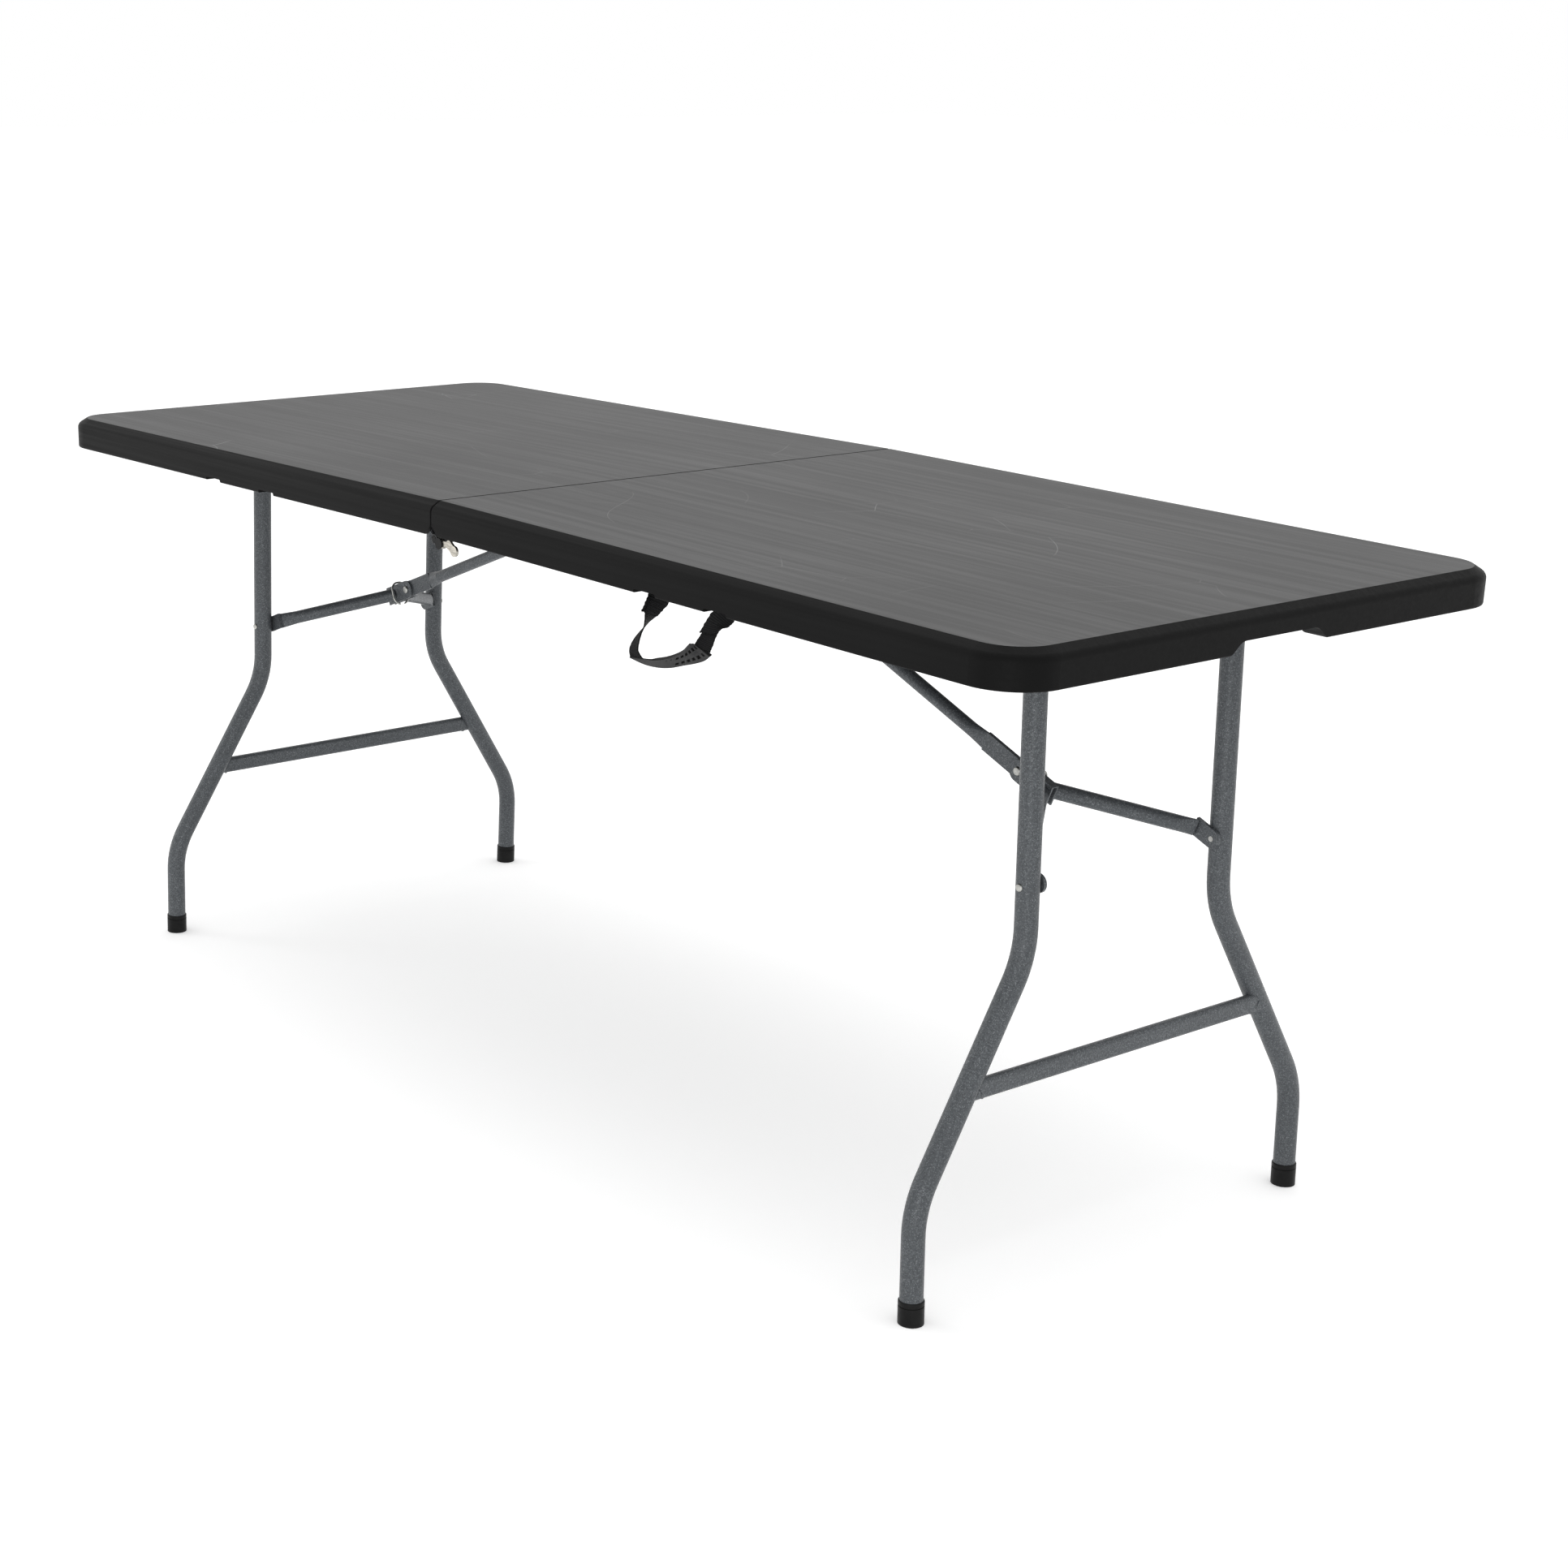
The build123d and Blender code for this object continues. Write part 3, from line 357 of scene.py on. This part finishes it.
# %% Helper that finishes a piece
def piece_from(bm, name, material, body, smooth_angle=35, recalc=True):
    if recalc:
        bmesh.ops.remove_doubles(bm, verts=bm.verts, dist=1e-6)
        bmesh.ops.recalc_face_normals(bm, faces=bm.faces)
    mesh = bpy.data.meshes.new(name)
    bm.to_mesh(mesh)
    bm.free()
    materials = material if isinstance(material, (list, tuple)) else [material]
    for one in materials:
        mesh.materials.append(one)
    mesh.shade_smooth()
    mesh.set_sharp_from_angle(angle=math.radians(smooth_angle))
    piece = bpy.data.objects.new(name, mesh)
    bpy.context.scene.collection.objects.link(piece)
    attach(piece, body)
    return piece


def turned(bm, profile, centre, axis, steps=32):
    """Spins a closed profile of (radius, height) points once round an axis through the centre."""
    verts = [bm.verts.new((r, 0, h)) for r, h in profile]
    bm.faces.new(verts)
    edges = list(bm.edges)
    bmesh.ops.spin(bm, geom=verts + edges + list(bm.faces), cent=(0, 0, 0), axis=(0, 0, 1),
                   angle=2 * math.pi, steps=steps, use_merge=True, use_duplicate=False)
    inner = [f for f in bm.faces if abs(f.normal.y) > 0.999 and abs(f.calc_center_median().y) < 1e-7]
    bmesh.ops.delete(bm, geom=inner, context="FACES_ONLY")
    turn = Vector((0, 0, 1)).rotation_difference(Vector(axis)).to_matrix().to_4x4()
    bmesh.ops.transform(bm, matrix=Matrix.Translation(centre) @ turn, verts=bm.verts)


# %% [markdown]
# ## Washers at the centre hinge
# At each end of the seam the hinge pin sits in a pressed steel washer, painted dark grey, so it
# shows as a ring round a darker centre. A ring with bevelled edges is a small profile spun once.

# %% Hinge washers
def washer(name, node, outer, inner, thick, body, out):
    low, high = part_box(node)
    face = low.y if out < 0 else high.y
    centre = Vector(((low.x + high.x) / 2, face - out * 1.0 * MM, (low.z + high.z) / 2))
    edge = 0.4 * MM
    profile = [(inner, -thick / 2), (outer - edge, -thick / 2), (outer, -thick / 2 + edge),
               (outer, thick / 2 - edge), (outer - edge, thick / 2), (inner, thick / 2)]
    bm = bmesh.new()
    turned(bm, profile, centre, (0, out, 0))
    return piece_from(bm, name, rail_coat, body)


for end, out in (("front", -1), ("back", 1)):
    washer(f"hinge_washer_{end}", f"hinge_pin_{end}", 6.0 * MM, 4.5 * MM, 1.6 * MM, "left_half", out)
print("washers on the hinge")

# %% [markdown]
# ## Weld beads
# The crossbar is welded between the legs. A bead is a rope of little overlapping puddles, so it is
# a spun ring whose thickness ripples, squeezed to the bar's flat section.

# %% Weld beads at the crossbars
ROUND = 10 * MM             # the radius a bead is spun at, before it is squeezed to the bar
BEAD = 1.4 * MM             # half the thickness of the bead
PUDDLES = 18                # ripples round one bead
LEG_LEAN = math.radians(31)  # the legs lean this much where the bar meets them


def weld_bead(name, centre, lean, half_thick, half_tall, body):
    bm = bmesh.new()
    circle = bmesh.ops.create_circle(bm, segments=8, radius=BEAD, cap_ends=False)
    bmesh.ops.transform(bm, verts=circle["verts"],
                        matrix=Matrix.Translation((ROUND, 0, 0)) @ Matrix.Rotation(math.pi / 2, 4, "X"))
    bmesh.ops.spin(bm, geom=circle["verts"] + list(bm.edges), cent=(0, 0, 0), axis=(0, 0, 1),
                   angle=2 * math.pi, steps=56, use_merge=True, use_duplicate=False)
    for vert in bm.verts:
        angle = math.atan2(vert.co.y, vert.co.x)
        ripple = 1 + 0.16 * math.sin(angle * PUDDLES)
        core = Vector((math.cos(angle), math.sin(angle), 0)) * ROUND
        vert.co = core + (vert.co - core) * ripple
    bmesh.ops.scale(bm, vec=(half_thick / ROUND, half_tall / ROUND, 1), verts=bm.verts)
    upright = Matrix.Rotation(math.pi / 2, 4, "X")
    bmesh.ops.transform(bm, matrix=Matrix.Translation(centre) @ Matrix.Rotation(lean, 4, "X") @ upright,
                        verts=bm.verts)
    return piece_from(bm, name, leg_coat, body, 80)


for half in ("left", "right"):
    low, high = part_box(f"crossbar_{half}")
    middle = (low + high) / 2
    half_thick, half_tall = 6.0 * MM, (high.z - low.z) / 2 + 0.2 * MM
    for side, out in (("front", -1), ("back", 1)):
        reach = (high.y - low.y) / 2 - 7.5 * MM
        joint = Vector((middle.x, middle.y + out * reach, middle.z))
        weld_bead(f"weld_{half}_{side}", joint, -out * LEG_LEAN, half_thick, half_tall * 1.12,
                  f"leg_frame_{half}")
print("weld beads on the crossbars")


# %% [markdown]
# ## A strap as a ribbon
# A webbing strap keeps its width but twists as it hangs. A flat grid is bent along the strap: each
# station gives the middle of the strap, the direction across it, and its width. Between stations a
# Catmull-Rom curve carries both on smoothly. The grid keeps a UV map in metres for the weave, and a
# Solidify modifier gives the strap its thickness.

# %% Helpers for ribbons
def blend_at(values, t):
    """A Catmull-Rom curve through a list of vectors, t from 0 to 1."""
    count = len(values) - 1
    index = min(int(t * count), count - 1)
    f = t * count - index
    a, b, c, d = (values[max(0, min(count, index + k))] for k in (-1, 0, 1, 2))
    return 0.5 * (2 * b + (c - a) * f + (2 * a - 5 * b + 4 * c - d) * f * f
                  + (3 * b - a - 3 * c + d) * f ** 3)


def ribbon_grid(stations, along, across, ragged=0.0):
    """A bent grid. Stations are (middle mm, direction across, width mm)."""
    middles = [Vector(s[0]) * MM for s in stations]
    acrosses = [Vector(s[1]).normalized() for s in stations]
    widths = [Vector((s[2] * MM, 0, 0)) for s in stations]
    length = sum((b - a).length for a, b in zip(middles, middles[1:]))
    bm = bmesh.new()
    layer = bm.loops.layers.uv.new("strap")
    bmesh.ops.create_grid(bm, x_segments=along, y_segments=across, size=0.5)
    place = {v: (v.co.x + 0.5, v.co.y) for v in bm.verts}
    for vert, (t, s) in place.items():
        width = blend_at(widths, t).x
        if abs(s) > 0.499:
            width *= 1 + ragged * math.sin(t * 61) * math.sin(t * 23 + 1)
        vert.co = blend_at(middles, t) + blend_at(acrosses, t).normalized() * s * width
    for face in bm.faces:
        for loop in face.loops:
            t, s = place[loop.vert]
            loop[layer].uv = (t * length, s * widths[0].x)
    return bm, length


def ribbon(name, stations, thick, body, material, ragged=0.0, along=64, across=8):
    bm, length = ribbon_grid(stations, along, across, ragged)
    piece = piece_from(bm, name, material, body, 60, recalc=False)
    shell = piece.modifiers.new("thickness", "SOLIDIFY")
    shell.thickness, shell.offset = thick * MM, 0.0
    edge = piece.modifiers.new("soft edge", "BEVEL")
    edge.width, edge.segments, edge.limit_method = 0.35 * MM, 2, "ANGLE"
    print(name, "length mm", round(length / MM))
    return piece


# %% [markdown]
# ## The carry handle
# Two straps loop round rods in the rim's notches and run down to a moulded grip. The left strap has
# twisted over on itself, the right one hangs almost flat. Each strap's doubled end is sewn down and
# stops in a slightly frayed step a few centimetres below the rim.

# %% Straps
rod_low, rod_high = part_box("handle_rods")
hang_y = (rod_low.y + rod_high.y) / 2 / MM
rod_z = (rod_low.z + rod_high.z) / 2 / MM
away = (-0.77, 0.57, -0.29)         # the way the strap's edge turns as it twists


def leaning(flat, turn):
    """A direction across the strap: flat in the strap's hanging plane, then turned away by degrees."""
    angle = math.radians(turn)
    return Vector((math.cos(flat), 0, math.sin(flat))) * math.cos(angle) + Vector(away) * math.sin(angle)


def at(x, z, y=0.0):
    return (x, hang_y + y, z)


left_strap = [
    (at(395, rod_z + 1, 3.5), leaning(0, 6), 22),
    (at(395, 703, 1), leaning(0.0, 30), 22),
    (at(389, 692), leaning(0.0, 50), 22),
    (at(381.5, 682), leaning(0.1, 58), 22),
    (at(375, 673), leaning(0.2, 72), 22),
    (at(369.5, 664.5), leaning(0.2, 90), 22),
    (at(362.5, 656), leaning(0.2, 108), 22),
    (at(356.5, 646), leaning(0.05, 130), 22),
    (at(354, 637), leaning(0.05, 146), 22),
    (at(359, 629.5), leaning(0.1, 174), 23),
]
right_strap = [
    (at(501, rod_z + 1, 3.5), leaning(0, 6), 22),
    (at(500, 702, 1), leaning(-0.3, 34), 22),
    (at(492.5, 694), leaning(-0.25, 26), 22),
    (at(483.5, 686.5), leaning(0.0, 6), 23),
    (at(476, 677), leaning(0.09, 0), 23.5),
    (at(470.5, 668), leaning(-0.05, 6), 22.5),
    (at(465.5, 660), leaning(-0.15, 10), 22.5),
]
straps = [
    ribbon("webbing_strap_left", left_strap, 1.5, "handle", webbing, 0.03, 96),
    ribbon("webbing_strap_right", right_strap, 1.5, "handle", webbing, 0.03, 80),
]
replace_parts(straps[0], "handle_strap_left")
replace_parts(straps[1], "handle_strap_right")

# %% [markdown]
# The doubled ends lie on the front of each strap, go round the rod, and join the strap behind.

# %% Doubled ends round the rods
def doubled_end(name, x, lower):
    loop = [(at(x, rod_z - 3, 4.6), leaning(0, 6), 22), (at(x, rod_z + 3.0, 3.2), leaning(0, 3), 22),
            (at(x, rod_z + 4.6, 0), leaning(0, 0), 22), (at(x, rod_z + 1.5, -3.9), leaning(0, 4), 22)]
    ribbon(name, loop + lower, 1.4, "handle", webbing, 0.05, 80)
    return loop + lower


left_end = doubled_end("webbing_end_left", 395, [
    (at(395, 703, -1.6), leaning(0.0, 28), 22.0), (at(389.2, 692, -2.2), leaning(0.0, 47), 22.4),
    (at(381.8, 682.5, -2.4), leaning(0.1, 52), 23.6)])
right_end = doubled_end("webbing_end_right", 501, [
    (at(500, 702, -1.6), leaning(-0.3, 32), 22.2), (at(492.5, 694, -2.2), leaning(-0.25, 24), 22.6),
    (at(483.5, 686.5, -2.4), leaning(0.0, 6), 24.0), (at(476.5, 678.5, -2.6), leaning(0.09, 0), 26.0)])


# %% [markdown]
# ## Stitches and loose threads
# Two short rows of lock stitch hold each doubled end, and where the webbing was cut a fringe of
# loose threads sticks out. Both need the strap's own directions at a place along it: across, along,
# and out of the front face.

# %% Stitches and threads
def strap_frame(stations, t):
    """The middle, the direction across, along and out of the front, and the width."""
    middles = [Vector(s[0]) * MM for s in stations]
    acrosses = [Vector(s[1]) for s in stations]
    widths = [Vector((s[2] * MM, 0, 0)) for s in stations]
    across = blend_at(acrosses, t).normalized()
    along = (blend_at(middles, min(t + 0.01, 1)) - blend_at(middles, min(t + 0.01, 1) - 0.02)).normalized()
    out = across.cross(along).normalized()
    if out.y > 0:
        out = -out
    return blend_at(middles, t), across, along, out, blend_at(widths, t).x


def stitches(name, stations, rows):
    bm = bmesh.new()
    count = 0
    for t in rows:
        middle, across, along, out, width = strap_frame(stations, t)
        turn = Matrix((across, along, out)).transposed().to_4x4()
        for step in range(-3, 4):
            centre = middle + across * step * width * 0.125 + out * 0.75 * MM
            ball = bmesh.ops.create_icosphere(bm, subdivisions=2, radius=1.0)
            shape = Matrix.Translation(centre) @ turn @ Matrix.Diagonal(
                (1.15 * MM, 0.38 * MM, 0.35 * MM, 1))
            bmesh.ops.transform(bm, matrix=shape, verts=ball["verts"])
            count += 1
    piece_from(bm, name, thread, "handle", 80)
    return count


def loose_threads(name, stations, count=26):
    bm = bmesh.new()
    middle, across, along, out, width = strap_frame(stations, 1.0)
    for index in range(count):
        place = (index + 0.5) / count - 0.5
        fan = 0.5 * math.sin(index * 5.1) + place * 0.5
        long = (1.5 + 1.2 * abs(math.sin(index * 2.3))) * MM
        way = (along + across * fan + out * 0.25 * math.sin(index * 3.7)).normalized()
        cone = bmesh.ops.create_cone(bm, cap_ends=True, cap_tris=False, segments=6,
                                     radius1=0.38 * MM, radius2=0.16 * MM, depth=long)
        turn = Vector((0, 0, 1)).rotation_difference(way).to_matrix().to_4x4()
        spot = middle + across * place * width * 0.96 + way * long * 0.35
        bmesh.ops.transform(bm, matrix=Matrix.Translation(spot) @ turn, verts=cone["verts"])
    piece_from(bm, name, webbing, "handle", 60)
    return count


print("stitches", stitches("stitches_left", left_end, (0.80, 0.94)),
      stitches("stitches_right", right_end, (0.80, 0.95)))
print("loose threads", loose_threads("threads_left", left_end),
      loose_threads("threads_right", right_end))

# %% [markdown]
# ## The grip
# The grip is moulded over the webbing: a thick curved plate with two rows of square dimples and a
# couple of smaller dots. It starts as the same kind of bent grid, is thickened with the solidify operator,
# and single faces of the grid are then inset and pushed in to make the dimples. The floors of the
# dimples and dots take a near-black copy of the grip plastic, which is painted shade in the recesses.

# %% Grip
grip_line = [
    (at(358, 629.5), leaning(0.15, 180), 24),
    (at(379, 628.5), leaning(0.45, 146), 23),
    (at(399, 631), leaning(0.95, 128), 23),
    (at(418, 636), leaning(1.50, 122), 23),
    (at(437, 643.5), leaning(2.10, 122), 23),
    (at(452, 651), leaning(2.60, 136), 23),
    (at(464, 658), leaning(2.85, 160), 23.5),
]


def grip():
    columns, rows = 66, 11
    bm, length = ribbon_grid(grip_line, columns, rows)
    toward = Vector((0.77, -0.57, 0.29))
    bmesh.ops.recalc_face_normals(bm, faces=bm.faces)
    if sum(f.normal.dot(toward) for f in bm.faces) < 0:
        bmesh.ops.reverse_faces(bm, faces=bm.faces)
    layer = bm.loops.layers.uv.active
    dimples = []
    dots = []
    for face in bm.faces:
        u = sum(loop[layer].uv.x for loop in face.loops) / 4 / length
        v = sum(loop[layer].uv.y for loop in face.loops) / 4 / (24 * MM) + 0.5
        column, row = int(u * (columns - 1)), int(v * (rows - 1))
        if column % 5 in (0, 1, 2) and row in (2, 3, 6, 7) and 35 <= column < 62:
            dimples.append(face)
        if column % 5 == 1 and row == 2 and 22 < column < 35:
            dots.append(face)
    bmesh.ops.solidify(bm, geom=list(bm.faces), thickness=4.2 * MM)
    wells = [f for f in dimples if f.is_valid]
    bmesh.ops.inset_region(bm, faces=wells, thickness=0.25 * MM, depth=-1.5 * MM, use_even_offset=True)
    bmesh.ops.inset_individual(bm, faces=[f for f in dots if f.is_valid], thickness=0.3 * MM,
                               depth=-0.9 * MM)
    # The floors of the dimples and dots take the near-black copy, which is painted shade in the recesses.
    for face in wells + dots:
        if face.is_valid:
            face.material_index = 1
    print("grip length mm", round(length / MM), "dimples", len(wells), "dots", len(dots))
    piece = piece_from(bm, "moulded_grip", [grip_plastic, dimple_painted_shade_plastic], "handle", 40,
                       recalc=False)
    edge = piece.modifiers.new("moulded radius", "BEVEL")
    edge.width, edge.segments, edge.limit_method, edge.angle_limit = 0.5 * MM, 2, "ANGLE", math.radians(50)
    return piece


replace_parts(grip(), "handle_grip")

# %% [markdown]
# ## Camera, floor and light
# The camera stands in front of one corner, a little above the top, with a long lens. The room is
# plain: a white floor that meets a white surround, a big soft source overhead, and a weaker one on
# each side so that the tubes carry one clean highlight.

# %% Camera
camera_data = bpy.data.cameras.new("camera")
camera_data.sensor_width = 36.0
camera_data.lens = 60.97
camera_data.shift_x, camera_data.shift_y = 0.1662, 0.0408
camera_data.clip_end = 100.0
camera = bpy.data.objects.new("camera", camera_data)
bpy.context.scene.collection.objects.link(camera)
look = Vector((-0.76671, 0.57048, -0.29447)).normalized()
right = Vector((0.59502, 0.80368, 0.00774))
up = right.cross(look).normalized()
right = look.cross(up).normalized()
camera.matrix_world = Matrix.Translation((2.5007, -2.0936, 1.2671)) @ Matrix(
    (right, up, -look)).transposed().to_4x4()
bpy.context.scene.camera = camera
print("camera at", tuple(round(c, 2) for c in camera.location))

# %% Floor and lights
floor_material, tree, body, place = start_material("studio_floor", Roughness=0.9)
body.inputs["Base Color"].default_value = linear("#fafafa")
body.inputs["Specular IOR Level"].default_value = 0.0
body.inputs["Emission Color"].default_value = (1, 1, 1, 1)
body.inputs["Emission Strength"].default_value = 0.25
bm = bmesh.new()
bmesh.ops.create_grid(bm, x_segments=8, y_segments=8, size=30.0)
bmesh.ops.translate(bm, vec=(0, 0, -0.3 * MM), verts=bm.verts)
floor_mesh = bpy.data.meshes.new("floor")
bm.to_mesh(floor_mesh)
bm.free()
floor_mesh.materials.append(floor_material)
floor = bpy.data.objects.new("floor", floor_mesh)
bpy.context.scene.collection.objects.link(floor)


def soft_light(name, place, target, size, power):
    data = bpy.data.lights.new(name, "AREA")
    data.shape, data.size, data.size_y, data.energy = "RECTANGLE", size[0], size[1], power
    light = bpy.data.objects.new(name, data)
    light.location = place
    light.rotation_euler = (Vector(target) - Vector(place)).to_track_quat("-Z", "Y").to_euler()
    bpy.context.scene.collection.objects.link(light)
    return light


soft_light("overhead", (0.2, 0.4, 3.6), (0, 0, 0.7), (4.0, 3.0), 25)
soft_light("near_side", (3.2, -3.4, 2.2), (0.3, 0, 0.5), (1.2, 2.4), 7)
soft_light("left_side", (-3.6, -2.4, 1.8), (0, 0, 0.5), (1.0, 2.4), 16)
soft_light("low_front", (2.6, -2.6, 0.5), (0.4, 0, 0.45), (1.6, 0.8), 12)
world = bpy.data.worlds.new("studio")
world.use_nodes = True
world.node_tree.nodes["Background"].inputs["Color"].default_value = (1, 1, 1, 1)
world.node_tree.nodes["Background"].inputs["Strength"].default_value = 1.0
bpy.context.scene.world = world
bpy.context.scene.view_settings.view_transform = "Standard"
print("floor and lights ready")
